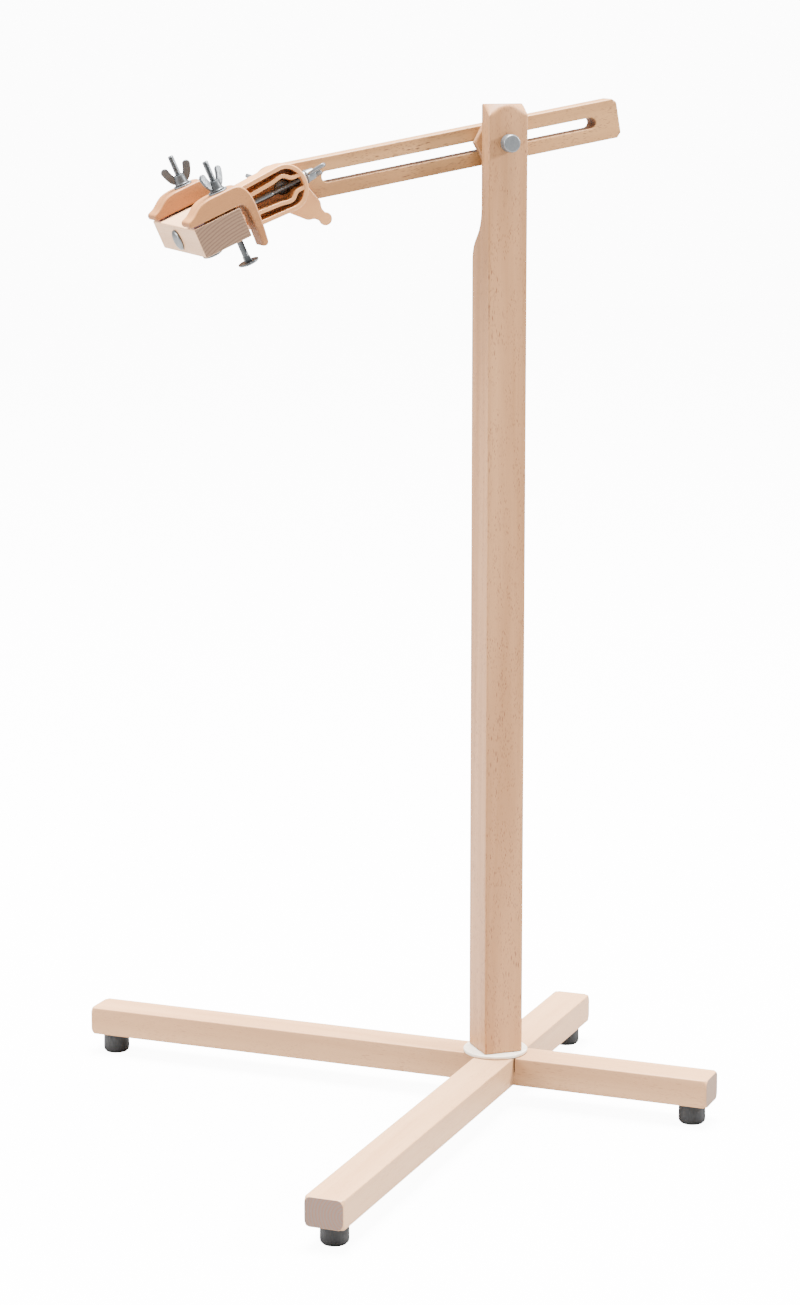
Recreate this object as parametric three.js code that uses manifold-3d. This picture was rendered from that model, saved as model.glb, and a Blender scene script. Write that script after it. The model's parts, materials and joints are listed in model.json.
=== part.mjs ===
// Embroidery hoop stand: a beech floor stand on a four-legged cross, with a slotted arm at the
// post's top and, at the arm's end, a tilting clamp head whose two claws grip a hoop's rim.
// Millimetres, +Z up. +X runs along the arm, away from the clamp head, and -Y is the post's front.

import * as THREE from 'three';
import { mergeVertices } from 'three/addons/utils/BufferGeometryUtils.js';
import Module from 'manifold-3d';

const wasm = await Module();
wasm.setup();

// ---------------------------------------------------------------- driving dimensions

const GAP = 0.3; // left between faces that touch
const ROUND = 28; // sides of a turned piece

// cross base
const BAR = { width: 38, height: 28.5 };
const FOOT = { height: 21, radius: 13.4, soleRadius: 11.4, inset: 20 };
const FRONT_FOOT_INSET = 25; // the front foot stands a little further in
const SIDE_REACH = { left: 450.5, right: 219 }; // from the crossing to each end
const FRONT_REACH = { front: 460, rear: 219 };
const CROSS_TURN = -42; // degrees, the cross against the post
const CROSS_OFFSET = { x: 6.3, y: 2.3 }; // the crossing's centre from the swivel bolt, along the bars
const LAP_PLAY = 1.4; // the side bar's notch is cut this much too wide
const DISC = { radius: 32, thick: 3.5 };
const SWIVEL_BOLT = { radius: 4, headRadius: 7.5, headHeight: 5.3, rise: 64 };

// post
const POST = { width: 40, depth: 43.5, top: 990, bottom: 53.6 };
const STEP = { thick: 20, start: 838, end: 895 }; // the cut-back half and the ogee below it
const HUB_HEIGHT = 953.2;
const HUB_BOLT = { radius: 4, headRadius: 8.5, headHeight: 10 };
const SPACER = { radius: 26.5, thick: 7.4 };

// arm
const ARM = { width: 38, thick: 22, rise: 9.75, right: 128.5, pivot: -224 };
const SLOT = { width: 10.2, left: -180.5, right: 103.5 };

// clamp head, measured along and across its rod
const HEAD_RISE = 24; // degrees from level
const PLATE = { thick: 3.4, radius: 22, nubReach: 55, nubRadius: 6.3, turn: -58.5 };
const CLIP = { depth: 23, web: 4, wall: 4.4, open: -48, mouth: 20.4, belly: 22.5, end: 20.2 };
const ROD = { radius: 3, end: 38, depthInClip: 10.5 };
const BLOCK = { front: -113, rear: -65, height: 28.4, width: 134 };
const CLAW = { width: 24, spread: 55, boltAt: -75, underside: 16, seat: 33.6 };
const CLAW_BOLT = { radius: 3, under: -36, top: 64 };
const WASHER_THICK = 1.6;

const radians = THREE.MathUtils.degToRad;
const postFront = -POST.depth / 2;
const barTop = FOOT.height + BAR.height;
const armFront = postFront + STEP.thick + GAP + SPACER.thick + GAP;
const armBack = armFront + ARM.thick;
const clipBack = armFront - PLATE.thick - 2 * GAP;
const clipFront = clipBack - CLIP.depth;
const rodY = clipFront + ROD.depthInClip;

// ---------------------------------------------------------------- materials

function material(color, roughness, metalness = 0) {
  return new THREE.MeshStandardMaterial({ color, roughness, metalness });
}

const beech = material(0xd9a878, 0.55);
const paleBeech = material(0xe2b98c, 0.55);
const plastic = material(0xeeb58c, 0.42);
const discPlastic = material(0xe9e6dd, 0.5);
const rubber = material(0x1b1b1c, 0.85);
const felt = material(0x6d4a50, 0.95);
const zinc = material(0xb4b7b8, 0.35, 1);
const darkSteel = material(0x4b4e50, 0.35, 1);
const brass = material(0xb6965a, 0.35, 1);

// ---------------------------------------------------------------- solid helpers

// A closed geometry as a solid that can be joined and cut.
function solid(geometry) {
  const bare = geometry.clone();
  bare.deleteAttribute('normal');
  bare.deleteAttribute('uv');
  const merged = mergeVertices(bare, 1e-4);
  const index = merged.index.array;
  const triangles = [];
  for (let i = 0; i < index.length; i += 3) {
    const [a, b, c] = [index[i], index[i + 1], index[i + 2]];
    if (a !== b && b !== c && c !== a) triangles.push(a, b, c);
  }
  return new wasm.Manifold(new wasm.Mesh({
    numProp: 3,
    vertProperties: Float32Array.from(merged.attributes.position.array),
    triVerts: Uint32Array.from(triangles),
  }));
}

function mesh(name, shape, look) {
  const { vertProperties, triVerts } = shape.getMesh();
  const geometry = new THREE.BufferGeometry();
  geometry.setAttribute('position', new THREE.BufferAttribute(vertProperties, 3));
  geometry.setIndex(new THREE.BufferAttribute(triVerts, 1));
  geometry.computeVertexNormals();
  const result = new THREE.Mesh(geometry, look);
  result.name = name;
  return result;
}

// A box between two corners.
function box(low, high) {
  const size = high.map((value, i) => value - low[i]);
  const centre = high.map((value, i) => (value + low[i]) / 2);
  return solid(new THREE.BoxGeometry(...size).translate(...centre));
}

// A profile of [radius, height] points, from the bottom up, turned about Z.
function turned(profile, sides = ROUND) {
  const points = profile.map(([radius, height]) => new THREE.Vector2(radius, height));
  return solid(new THREE.LatheGeometry(points, sides).rotateX(Math.PI / 2));
}

function rod(radius, low, high, sides = ROUND) {
  return turned([[0, low], [radius, low], [radius, high], [0, high]], sides);
}

function ring(inner, outer, low, high) {
  return turned([[0, low], [outer, low], [outer, high], [0, high]])
    .subtract(rod(inner, low - 1, high + 1));
}

// Turns a solid made along Z so that it lies along X or Y.
function alongX(shape) {
  return shape.rotate([0, 90, 0]);
}

function alongY(shape) {
  return shape.rotate([-90, 0, 0]);
}

// An outline in the X-Z plane, given depth along Y.
function slab(outline, front, back, curveSegments = 10) {
  const settings = { depth: back - front, bevelEnabled: false, curveSegments };
  const geometry = new THREE.ExtrudeGeometry(outline, settings);
  return solid(geometry.rotateX(Math.PI / 2).translate(0, back, 0));
}

// The space inside a cone-turned end: flat out to `flat`, then falling by `slope` per mm.
function turnedEnd(tip, flat, slope, reach, tail) {
  const shoulder = tip - (reach - flat) * slope;
  return turned([[0, tail], [reach, tail], [reach, shoulder], [flat, tip], [0, tip]], 48);
}

// A round-headed bolt with a square neck, its head below z = 0 and its shaft above.
function carriageBolt(radius, length, headRadius, headHeight, neck) {
  const dome = [[0, -headHeight]];
  for (let i = 1; i <= 5; i += 1) {
    const turn = (i / 5) * (Math.PI / 2);
    dome.push([headRadius * Math.sin(turn), -0.8 - (headHeight - 0.8) * Math.cos(turn)]);
  }
  const shaft = [[headRadius, 0], [radius, 0], [radius, length - 1], [radius - 1, length], [0, length]];
  const body = turned([...dome, ...shaft], 20);
  const half = radius;
  return body.add(box([-half, -half, -0.4], [half, half, neck]));
}

// A wing nut standing on z = 0 with its wings spread along X; size 1 is an M6 nut.
function wingNut(size, bore) {
  const wing = new THREE.Shape();
  wing.moveTo(2, 1.6);
  wing.lineTo(6.4, 1.6);
  wing.absarc(11.2, 16.6, 3.2, radians(-32), radians(150), false);
  wing.lineTo(4.2, 9.2);
  wing.lineTo(2, 9.2);
  const one = slab(wing, -1.4, 1.4, 5);
  const body = turned([[0, 0], [6.4, 0], [6.8, 1.2], [5.4, 9.4], [0, 9.4]], 20);
  return body.add(one).add(one.rotate([0, 0, 180])).scale([size, size, size])
    .subtract(rod(bore, -1, 12 * size, 20));
}

// ---------------------------------------------------------------- cross base

const crossMid = FOOT.height + BAR.height / 2;

// A bar along X whose ends are cone-turned.
function bar(low, high) {
  const half = BAR.width / 2;
  const plain = box([low, -half, FOOT.height], [high, half, barTop]);
  const middle = (low + high) / 2;
  const reach = (high - low) / 2;
  const end = turnedEnd(reach, 20.5, 0.8, 30, 0);
  const ends = alongX(end).add(alongX(end).rotate([0, 0, 180]));
  return plain.intersect(ends.translate([middle, 0, crossMid]));
}

function footHoles(positions) {
  const hole = rod(2.2, FOOT.height - 1, FOOT.height + 22, 16);
  const holes = positions.map((x) => hole.translate([x, 0, 0]));
  return holes[0].add(holes[1]);
}

// The side bar lies below at the crossing; its notch is open upwards.
function sideBar() {
  const { left, right } = SIDE_REACH;
  const half = BAR.width / 2;
  const notchLow = [-half - GAP, -half - 1, crossMid - GAP];
  const notch = box(notchLow, [half + LAP_PLAY, half + 1, barTop + 1]);
  const feet = footHoles([-left + FOOT.inset, right - FOOT.inset]);
  const bolt = rod(SWIVEL_BOLT.radius + 0.3, 0, barTop + 1);
  const recess = rod(12, FOOT.height - 1, FOOT.height + 9);
  const boltHole = bolt.add(recess).translate([-CROSS_OFFSET.x, -CROSS_OFFSET.y, 0]);
  return bar(-left, right).subtract(notch).subtract(feet).subtract(boltHole);
}

// The front bar passes over the side bar; made along X and turned to run front to rear.
function frontBar() {
  const { front, rear } = FRONT_REACH;
  const half = BAR.width / 2;
  const notch = box([-half - GAP, -half - 1, 0], [half + GAP, half + 1, crossMid]);
  const feet = footHoles([-front + FRONT_FOOT_INSET, rear - FOOT.inset]);
  const plain = bar(-front, rear).subtract(notch).subtract(feet).rotate([0, 0, 90]);
  const bolt = rod(SWIVEL_BOLT.radius + 0.3, 0, barTop + 1);
  return plain.subtract(bolt.translate([-CROSS_OFFSET.x, -CROSS_OFFSET.y, 0]));
}

// A rubber foot with a recess in its sole for the screw's head.
function foot() {
  const { height, radius, soleRadius } = FOOT;
  const top = height - GAP;
  const profile = [[0, 0], [soleRadius, 0], [radius, 3], [radius - 0.3, top], [0, top]];
  const screwHole = rod(2.6, -1, height, 16).add(rod(6, -1, 9, 20));
  return turned(profile).subtract(screwHole);
}

function footScrew() {
  const shank = [[0, 4], [4.6, 4], [5.2, 5.6], [5.2, 8.7], [2, 8.7], [2, 38], [0, 41]];
  return turned(shank, 16);
}

function crossBase() {
  const cross = new THREE.Group();
  cross.add(mesh('side_bar', sideBar(), beech), mesh('front_bar', frontBar(), beech));
  const places = {
    left: [-SIDE_REACH.left + FOOT.inset, 0],
    right: [SIDE_REACH.right - FOOT.inset, 0],
    front: [0, -FRONT_REACH.front + FRONT_FOOT_INSET],
    rear: [0, FRONT_REACH.rear - FOOT.inset],
  };
  for (const [side, [x, y]] of Object.entries(places)) {
    const pad = mesh(`foot_${side}`, foot(), rubber);
    const screw = mesh(`foot_screw_${side}`, footScrew(), zinc);
    pad.position.set(x, y, 0);
    screw.position.set(x, y, 0);
    cross.add(pad, screw);
  }
  const up = new THREE.Vector3(0, 0, 1);
  cross.position.set(CROSS_OFFSET.x, CROSS_OFFSET.y, 0).applyAxisAngle(up, radians(CROSS_TURN));
  cross.rotation.z = radians(CROSS_TURN);
  return cross;
}

// ---------------------------------------------------------------- swivel and post

const discLow = barTop + GAP;
const insertTop = POST.bottom + 26;

function swivelBolt() {
  const { radius, headRadius, headHeight, rise } = SWIVEL_BOLT;
  const headTop = FOOT.height + 9 - WASHER_THICK - 2 * GAP;
  const head = rod(headRadius, headTop - headHeight, headTop, 6);
  return head.add(rod(radius, headTop - 1, POST.bottom + rise));
}

// Side outline of the post in the depth-height plane, with the ogee under the cut-back half.
function post() {
  const half = POST.width / 2;
  const back = postFront + POST.depth;
  const cut = postFront + STEP.thick;
  const outline = new THREE.Shape();
  outline.moveTo(postFront, POST.bottom);
  outline.lineTo(back, POST.bottom);
  outline.lineTo(back, STEP.start);
  const middle = (STEP.start + STEP.end) / 2;
  outline.bezierCurveTo(back, middle, cut, middle - 8, cut, STEP.end);
  outline.lineTo(cut, POST.top);
  outline.lineTo(postFront, POST.top);
  const plain = slab(outline, -half, half, 12).rotate([0, 0, 90]);
  const crown = turnedEnd(POST.top, 20.5, 0.8, 60, 0);
  const bore = rod(SWIVEL_BOLT.radius + 0.1, 0, POST.bottom + SWIVEL_BOLT.rise + 2);
  const insertSeat = rod(6.5, 0, insertTop + GAP);
  const hubBore = alongY(rod(HUB_BOLT.radius + 0.1, -50, 50)).translate([0, 0, HUB_HEIGHT]);
  return plain.intersect(crown).subtract(bore).subtract(insertSeat).subtract(hubBore);
}

function hubBolt() {
  const { radius, headRadius, headHeight } = HUB_BOLT;
  const end = armBack + 20;
  const face = postFront - GAP;
  const outer = face - headHeight;
  const rim = [[headRadius - 0.5, outer + 0.5], [headRadius, outer + 1.6]];
  const head = [[0, outer], [headRadius - 1.6, outer], ...rim];
  const shaft = [[headRadius, face], [radius, face], [radius, end - 1], [radius - 1, end], [0, end]];
  return alongY(turned([...head, ...shaft])).translate([0, 0, HUB_HEIGHT]);
}

// A six-sided wooden spacer between the post's cut-back face and the arm, points to the sides.
function spacer() {
  const low = postFront + STEP.thick + GAP;
  const high = low + SPACER.thick;
  const { radius } = SPACER;
  const bevel = 1.2;
  const lower = [[0, low], [radius - bevel, low], [radius, low + bevel]];
  const upper = [[radius, high - bevel], [radius - bevel, high], [0, high]];
  const prism = turned([...lower, ...upper], 6).rotate([0, 0, 90]);
  const bore = rod(HUB_BOLT.radius + 0.1, low - 1, high + 1);
  return alongY(prism.subtract(bore)).translate([0, 0, HUB_HEIGHT]);
}

function column() {
  const group = new THREE.Group();
  group.add(
    mesh('post', post(), paleBeech),
    mesh('threaded_insert', ring(SWIVEL_BOLT.radius + 0.1, 6.2, POST.bottom + GAP, insertTop), brass),
    mesh('hub_bolt', hubBolt(), zinc),
    mesh('hub_spacer', spacer(), beech),
  );
  return group;
}

function swivel() {
  const group = new THREE.Group();
  const washerLow = FOOT.height + 9 - WASHER_THICK - GAP;
  const clear = SWIVEL_BOLT.radius + 0.3;
  const { radius, thick } = DISC;
  const top = discLow + thick;
  const bevel = 0.6;
  const lower = [[0, discLow], [radius - bevel, discLow], [radius, discLow + bevel]];
  const upper = [[radius, top - bevel], [radius - bevel, top], [0, top]];
  const disc = turned([...lower, ...upper], 48).subtract(rod(clear, discLow - 1, top + 1));
  group.add(
    mesh('swivel_disc', disc, discPlastic),
    mesh('swivel_bolt', swivelBolt(), zinc),
    mesh('swivel_washer', ring(clear, 11, washerLow, washerLow + WASHER_THICK), zinc),
  );
  return group;
}

// ---------------------------------------------------------------- arm

// Long outline with one round end at the head's pivot and a slot for the hub bolt.
function arm() {
  const half = ARM.width / 2;
  const outline = new THREE.Shape();
  outline.moveTo(ARM.right, -half);
  outline.lineTo(ARM.right, half);
  outline.lineTo(ARM.pivot, half);
  outline.absarc(ARM.pivot, 0, half, Math.PI / 2, (3 * Math.PI) / 2, false);
  const r = SLOT.width / 2;
  const slot = new THREE.Path();
  slot.moveTo(SLOT.left + r, -r);
  slot.lineTo(SLOT.right - r, -r);
  slot.absarc(SLOT.right - r, 0, r, -Math.PI / 2, Math.PI / 2, false);
  slot.lineTo(SLOT.left + r, r);
  slot.absarc(SLOT.left + r, 0, r, Math.PI / 2, (3 * Math.PI) / 2, false);
  outline.holes.push(slot);
  const plain = slab(outline, armFront, armBack, 10);
  const middle = (armFront + armBack) / 2;
  const crown = alongX(turnedEnd(ARM.right, 17.5, 0.9, 30, ARM.pivot - 30)).translate([0, middle, 0]);
  const pivotBore = alongY(rod(ROD.radius + 0.1, armFront - 1, armBack + 1));
  return plain.intersect(crown).subtract(pivotBore.translate([ARM.pivot, 0, 0]));
}

function hubClamp() {
  const group = new THREE.Group();
  const low = armBack + GAP;
  const bore = HUB_BOLT.radius + 0.1;
  const washer = mesh('hub_washer', alongY(ring(bore, 14, low, low + WASHER_THICK)), zinc);
  const nut = mesh('hub_wing_nut', alongY(wingNut(1.35, bore)), zinc);
  nut.position.y = low + WASHER_THICK + GAP;
  nut.rotation.y = radians(12);
  group.add(washer, nut);
  return group;
}

// ---------------------------------------------------------------- clamp head

// The clip's outline, drawn in by a wall's thickness or not: straight walls, then a round end.
function clipOutline(inset) {
  const { open, mouth, belly, end } = CLIP;
  const outline = new THREE.Shape();
  outline.moveTo(open, -mouth + inset);
  outline.lineTo(0, -belly + inset);
  outline.absellipse(0, 0, end - inset, belly - inset, -Math.PI / 2, Math.PI / 2, false);
  outline.lineTo(open, mouth - inset);
  outline.closePath();
  return outline;
}

// One springy jaw inside the clip: a band that starts straight, bulges round the pivot's head and
// runs into the round end.
function jaw() {
  const line = new THREE.Path();
  line.moveTo(-42, 8.6);
  line.lineTo(-13, 10.7);
  line.bezierCurveTo(-7, 11.2, -6, 12.6, -1.5, 12.4);
  line.bezierCurveTo(3.5, 12.2, 4, 6.8, 9, 6.6);
  line.lineTo(17.5, 6.2);
  const points = line.getPoints(7);
  const half = 1.9;
  const side = (sign) => points.map((point, i) => {
    const before = points[Math.max(i - 1, 0)];
    const after = points[Math.min(i + 1, points.length - 1)];
    const along = after.clone().sub(before).normalize();
    return new THREE.Vector2(point.x - along.y * half * sign, point.y + along.x * half * sign);
  });
  return new THREE.Shape([...side(-1), ...side(1).reverse()]);
}

function clip() {
  const webFront = clipBack - CLIP.web;
  const { wall, open, end } = CLIP;
  const outer = slab(clipOutline(0), clipFront, clipBack, 14);
  const hollow = slab(clipOutline(wall), clipFront - 1, webFront, 14);
  const gape = CLIP.mouth - wall;
  const mouth = box([open - 1, clipFront - 1, -gape], [open + 1, webFront, gape]);
  const upper = slab(jaw(), clipFront, webFront + 1, 4);
  const lower = upper.mirror([0, 0, 1]);
  const rodHole = alongX(rod(ROD.radius + 0.1, 0, end + 5)).translate([0, rodY, 0]);
  const pivotHole = box([-3.2, webFront - 1, -3.2], [3.2, clipBack + 1, 3.2]);
  const loop = outer.subtract(hollow).subtract(mouth);
  return loop.add(upper).add(lower).subtract(rodHole).subtract(pivotHole);
}

// A friction plate behind the clip: a disc on the pivot drawn out to a finger nub.
function pivotPlate() {
  const { radius, nubReach, nubRadius } = PLATE;
  const outline = new THREE.Shape();
  outline.absarc(0, 0, radius, radians(52), radians(308), false);
  outline.lineTo(38, -11.6);
  outline.quadraticCurveTo(41.5, -11, 43.5, -8.4);
  outline.quadraticCurveTo(46, -5.2, 51.2, -5);
  outline.absarc(nubReach, 0, nubRadius, radians(232.5), radians(487.5), false);
  outline.lineTo(51.2, 5);
  outline.quadraticCurveTo(46, 5.2, 43.5, 8.4);
  outline.quadraticCurveTo(41.5, 11, 38, 11.6);
  const low = clipBack + GAP;
  const hole = alongY(rod(ROD.radius + 0.3, low - 1, low + PLATE.thick + 1));
  return slab(outline, low, low + PLATE.thick, 7).subtract(hole).rotate([0, -PLATE.turn, 0]);
}

// The tilting part of the head: clip, plate, and the pivot bolt that draws them to the arm.
function tiltingHead() {
  const group = new THREE.Group();
  const webFront = clipBack - CLIP.web;
  const washerLow = armBack + GAP;
  const boltEnd = washerLow + 18;
  const boltBody = carriageBolt(ROD.radius, boltEnd - webFront + GAP, 7.5, 4.2, 3.5);
  const bolt = mesh('pivot_bolt', alongY(boltBody), darkSteel);
  bolt.position.y = webFront - GAP;
  const washerBody = ring(ROD.radius + 0.3, 10, washerLow, washerLow + WASHER_THICK);
  const nut = mesh('pivot_wing_nut', alongY(wingNut(1.35, ROD.radius + 0.1)), zinc);
  nut.position.y = washerLow + WASHER_THICK + GAP;
  nut.rotation.y = radians(50);
  group.add(
    mesh('clip', clip(), plastic),
    mesh('pivot_plate', pivotPlate(), plastic),
    bolt,
    mesh('pivot_washer', alongY(washerBody), zinc),
    nut,
  );
  return group;
}

// The wooden block that the hoop's rim rests on.
function block() {
  const { front, rear, height, width } = BLOCK;
  const half = height / 2;
  const plain = box([front, rodY - width / 2, -half], [rear, rodY + width / 2, half]);
  const rodHole = alongX(rod(ROD.radius + 0.4, front - 1, rear + 1, 20)).translate([0, rodY, 0]);
  const neckSeat = box([front - 1, rodY - 3.4, -3.4], [front + 6, rodY + 3.4, 3.4]);
  const neckHole = rod(4.8, -half - 1, -half + 7, 20);
  const boltHole = rod(ROD.radius + 0.4, -half - 1, half + 1, 20).add(neckHole);
  const nearHole = boltHole.translate([CLAW.boltAt, rodY - CLAW.spread, 0]);
  const farHole = boltHole.translate([CLAW.boltAt, rodY + CLAW.spread, 0]);
  return plain.subtract(rodHole).subtract(neckSeat).subtract(nearHole).subtract(farHole);
}

// Side outline of a claw: a tapering beak over the block's top and a leg down its back.
function claw() {
  const low = CLAW.underside;
  const { seat } = CLAW;
  const outline = new THREE.Shape();
  outline.moveTo(-113, low);
  outline.quadraticCurveTo(-115.6, low + 0.2, -115.8, low + 3);
  outline.quadraticCurveTo(-115.8, 22.2, -112.6, 23);
  outline.bezierCurveTo(-106, 24.6, -103, 30, -96, 32.2);
  outline.quadraticCurveTo(-92, 33.4, -86, seat);
  outline.lineTo(-64, seat);
  outline.bezierCurveTo(-54, 33.2, -49.6, 25, -49.5, 9);
  outline.quadraticCurveTo(-50.1, -8, -52.4, -24.5);
  outline.quadraticCurveTo(-53.6, -29.8, -58.7, -27.6);
  outline.quadraticCurveTo(-58, -10, -58.2, 3);
  outline.quadraticCurveTo(-58.4, low, -65, low);
  const half = CLAW.width / 2;
  const hole = rod(ROD.radius + 0.3, 0, CLAW.seat + 1, 20).translate([CLAW.boltAt, 0, 0]);
  return slab(outline, -half, half, 6).subtract(hole);
}

// One claw with its bolt, washer, wing nut and the pad under its beak.
function clawSet(side, y, nutTurn) {
  const group = new THREE.Group();
  const { under, top, radius } = CLAW_BOLT;
  const seat = CLAW.seat - 0.4;
  const half = BLOCK.height / 2;
  const boltBody = carriageBolt(radius, top - under, 10, 3.6, 5);
  const bolt = mesh(`claw_bolt_${side}`, boltBody, zinc);
  bolt.position.set(CLAW.boltAt, 0, under);
  const washerBody = ring(radius + 0.1, 9, seat + GAP, seat + GAP + WASHER_THICK);
  const washer = mesh(`claw_washer_${side}`, washerBody, zinc);
  washer.position.x = CLAW.boltAt;
  const nut = mesh(`claw_wing_nut_${side}`, wingNut(1, radius + 0.1), zinc);
  nut.position.set(CLAW.boltAt, 0, seat + WASHER_THICK + 2 * GAP);
  nut.rotation.z = radians(nutTurn);
  const pad = box([-112, -9, half + GAP], [-101, 9, CLAW.underside - GAP]);
  const spot = rod(11, seat, CLAW.seat + 1).translate([CLAW.boltAt, 0, 0]);
  group.add(
    mesh(`claw_${side}`, claw().subtract(spot), beech),
    mesh(`claw_pad_${side}`, pad, felt),
    bolt,
    washer,
    nut,
  );
  group.position.y = y;
  return group;
}

// The rolling part of the head: the rod, the block on it, and the two claw sets.
function rollingHead() {
  const group = new THREE.Group();
  const start = BLOCK.front - GAP;
  const bolt = mesh('rod', alongX(carriageBolt(ROD.radius, ROD.end - start, 10, 4.2, 5)), darkSteel);
  bolt.position.set(start, rodY, 0);
  const washerLow = CLIP.end + GAP;
  const bore = ROD.radius + 0.1;
  const washerBody = ring(bore, 6.5, washerLow, washerLow + WASHER_THICK);
  const washer = mesh('rod_washer', alongX(washerBody), zinc);
  washer.position.y = rodY;
  const nut = mesh('rod_wing_nut', alongX(wingNut(1, bore)).rotate([66, 0, 0]), zinc);
  nut.position.set(washerLow + WASHER_THICK + GAP, rodY, 0);
  group.add(
    bolt,
    mesh('block', block(), paleBeech),
    washer,
    nut,
    clawSet('near', rodY - CLAW.spread, 28),
    clawSet('far', rodY + CLAW.spread, -10),
  );
  return group;
}

// ---------------------------------------------------------------- assembly

function headGroup() {
  const head = new THREE.Group();
  head.add(tiltingHead(), rollingHead());
  head.position.x = ARM.pivot;
  head.rotation.y = radians(ARM.rise - HEAD_RISE);
  return head;
}

function armGroup() {
  const group = new THREE.Group();
  group.add(mesh('arm', arm(), beech), headGroup());
  group.position.z = HUB_HEIGHT;
  group.rotation.y = -radians(ARM.rise);
  return group;
}

const stand = new THREE.Group();
const clamp = hubClamp();
clamp.position.z = HUB_HEIGHT;
stand.add(crossBase(), swivel(), column(), clamp, armGroup());

// The origin goes to the floor under the middle of the stand's bounding box.
stand.updateMatrixWorld(true);
const centre = new THREE.Box3().setFromObject(stand, true).getCenter(new THREE.Vector3());
stand.position.set(-centre.x, -centre.y, 0);

export default stand;
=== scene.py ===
# Embroidery hoop stand: the looks of the beech floor stand, its slotted arm and its clamp head.
# Shapes are worked out in millimetres in the place of the part they belong to (cross, column, arm or
# head) and put into the stand's own frame, in metres.

import json

import bpy
import numpy as np
from mathutils import Matrix, Vector
from mathutils.geometry import delaunay_2d_cdt


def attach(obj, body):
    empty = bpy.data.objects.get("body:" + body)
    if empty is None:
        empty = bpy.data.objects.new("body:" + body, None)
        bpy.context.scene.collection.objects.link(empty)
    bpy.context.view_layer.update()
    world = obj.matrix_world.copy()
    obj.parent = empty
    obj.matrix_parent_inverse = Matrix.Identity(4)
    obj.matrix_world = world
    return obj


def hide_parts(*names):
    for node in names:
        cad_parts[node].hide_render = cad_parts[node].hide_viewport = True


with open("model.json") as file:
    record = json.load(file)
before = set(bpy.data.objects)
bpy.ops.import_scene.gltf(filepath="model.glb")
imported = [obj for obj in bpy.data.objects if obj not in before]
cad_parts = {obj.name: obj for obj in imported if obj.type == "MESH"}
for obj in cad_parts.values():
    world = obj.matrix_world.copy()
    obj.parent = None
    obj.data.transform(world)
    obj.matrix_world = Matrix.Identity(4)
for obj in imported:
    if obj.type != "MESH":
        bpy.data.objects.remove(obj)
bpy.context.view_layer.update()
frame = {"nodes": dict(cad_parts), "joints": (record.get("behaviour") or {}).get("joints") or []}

MM = 0.001

# ---------------------------------------------------------------- dimensions, in millimetres

GAP = 0.3  # between two pieces that rest on each other
BAR = {"width": 38.0, "height": 28.5, "low": 21.0}
SIDE_REACH = (-450.5, 219.0)
FRONT_REACH = (-460.0, 219.0)
CROSS_TURN = np.radians(-42.0)
CROSS_OFFSET = (6.3, 2.3)
LAP_PLAY = 1.4
FOOT = {"height": 21.0, "radius": 13.4, "sole": 11.4, "inset": 20.0}
FRONT_FOOT_INSET = 25.0
DISC = {"radius": 32.0, "thick": 3.5}
POST = {"width": 40.0, "depth": 43.5, "top": 990.0, "bottom": 53.6}
STEP = {"thick": 20.0, "start": 838.0, "end": 895.0}
HUB_CAP = {"radius": 8.5, "height": 10.0}
SPACER = {"radius": 26.5, "thick": 7.4}
ARM = {"width": 38.0, "thick": 22.0, "right": 128.5, "pivot": -224.0}
SLOT = {"width": 10.2, "left": -180.5, "right": 103.5}
PLATE = {"thick": 3.4, "radius": 22.0, "nub_reach": 55.0, "nub_radius": 6.3, "turn": np.radians(-58.5)}
CLIP = {"depth": 23.0, "web": 4.0, "wall": 4.4, "open": -48.0, "mouth": 20.4, "belly": 22.5, "end": 20.2}
JAW = {"thick": 3.8, "set_back": 0.5}
BLOCK = {"front": -113.0, "rear": -65.0, "height": 28.4, "width": 134.0}
CLAW = {"width": 24.0, "spread": 55.0, "bolt_at": -75.0, "underside": 16.0, "top": 33.6}
CLAW_BOLT = {"low": -36.0, "high": 64.0}
CLAW_BOLT_END = {"head_radius": 10.0, "head_height": 3.6, "neck": 5.0, "thread": 62.0}
SEAT_DEPTH = 0.4  # the flat cut into a claw's top under its washer
ROD = {"end": 38.0, "depth_in_clip": 10.5}
ROD_END = {"head_radius": 10.0, "head_height": 4.2, "neck": 5.0, "thread": 52.0}
PIVOT_PAST_WASHER = 18.0
PIVOT_END = {"head_radius": 7.5, "head_height": 4.2, "neck": 3.5, "thread": 24.0}
HUB_BOLT = {"radius": 4.0, "past_arm": 20.0, "thread_from": 34.0, "pitch": 1.25}
BOLT_RADIUS = 3.0
WASHER = 1.6
TURNED_END = {"flat": 20.5, "slope": 0.8}  # the cone that takes the corners off a bar or the post
ARM_END = {"flat": 17.5, "slope": 0.9}
LARGE_NUT = 1.35  # the hub's and the pivot's wing nuts against the others
NUT_TURN = {"hub": 12, "pivot": 50, "rod": 66, "near": 28, "far": -10}  # degrees

BAR_TOP = BAR["low"] + BAR["height"]
POST_FRONT = -POST["depth"] / 2
ARM_FRONT = POST_FRONT + STEP["thick"] + GAP + SPACER["thick"] + GAP
ARM_BACK = ARM_FRONT + ARM["thick"]
CLIP_BACK = ARM_FRONT - PLATE["thick"] - 2 * GAP
CLIP_FRONT = CLIP_BACK - CLIP["depth"]
WEB_FRONT = CLIP_BACK - CLIP["web"]
ROD_Y = CLIP_FRONT + ROD["depth_in_clip"]

# ---------------------------------------------------------------- places

JOINTS = {joint["name"]: joint for joint in frame["joints"]}


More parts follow.
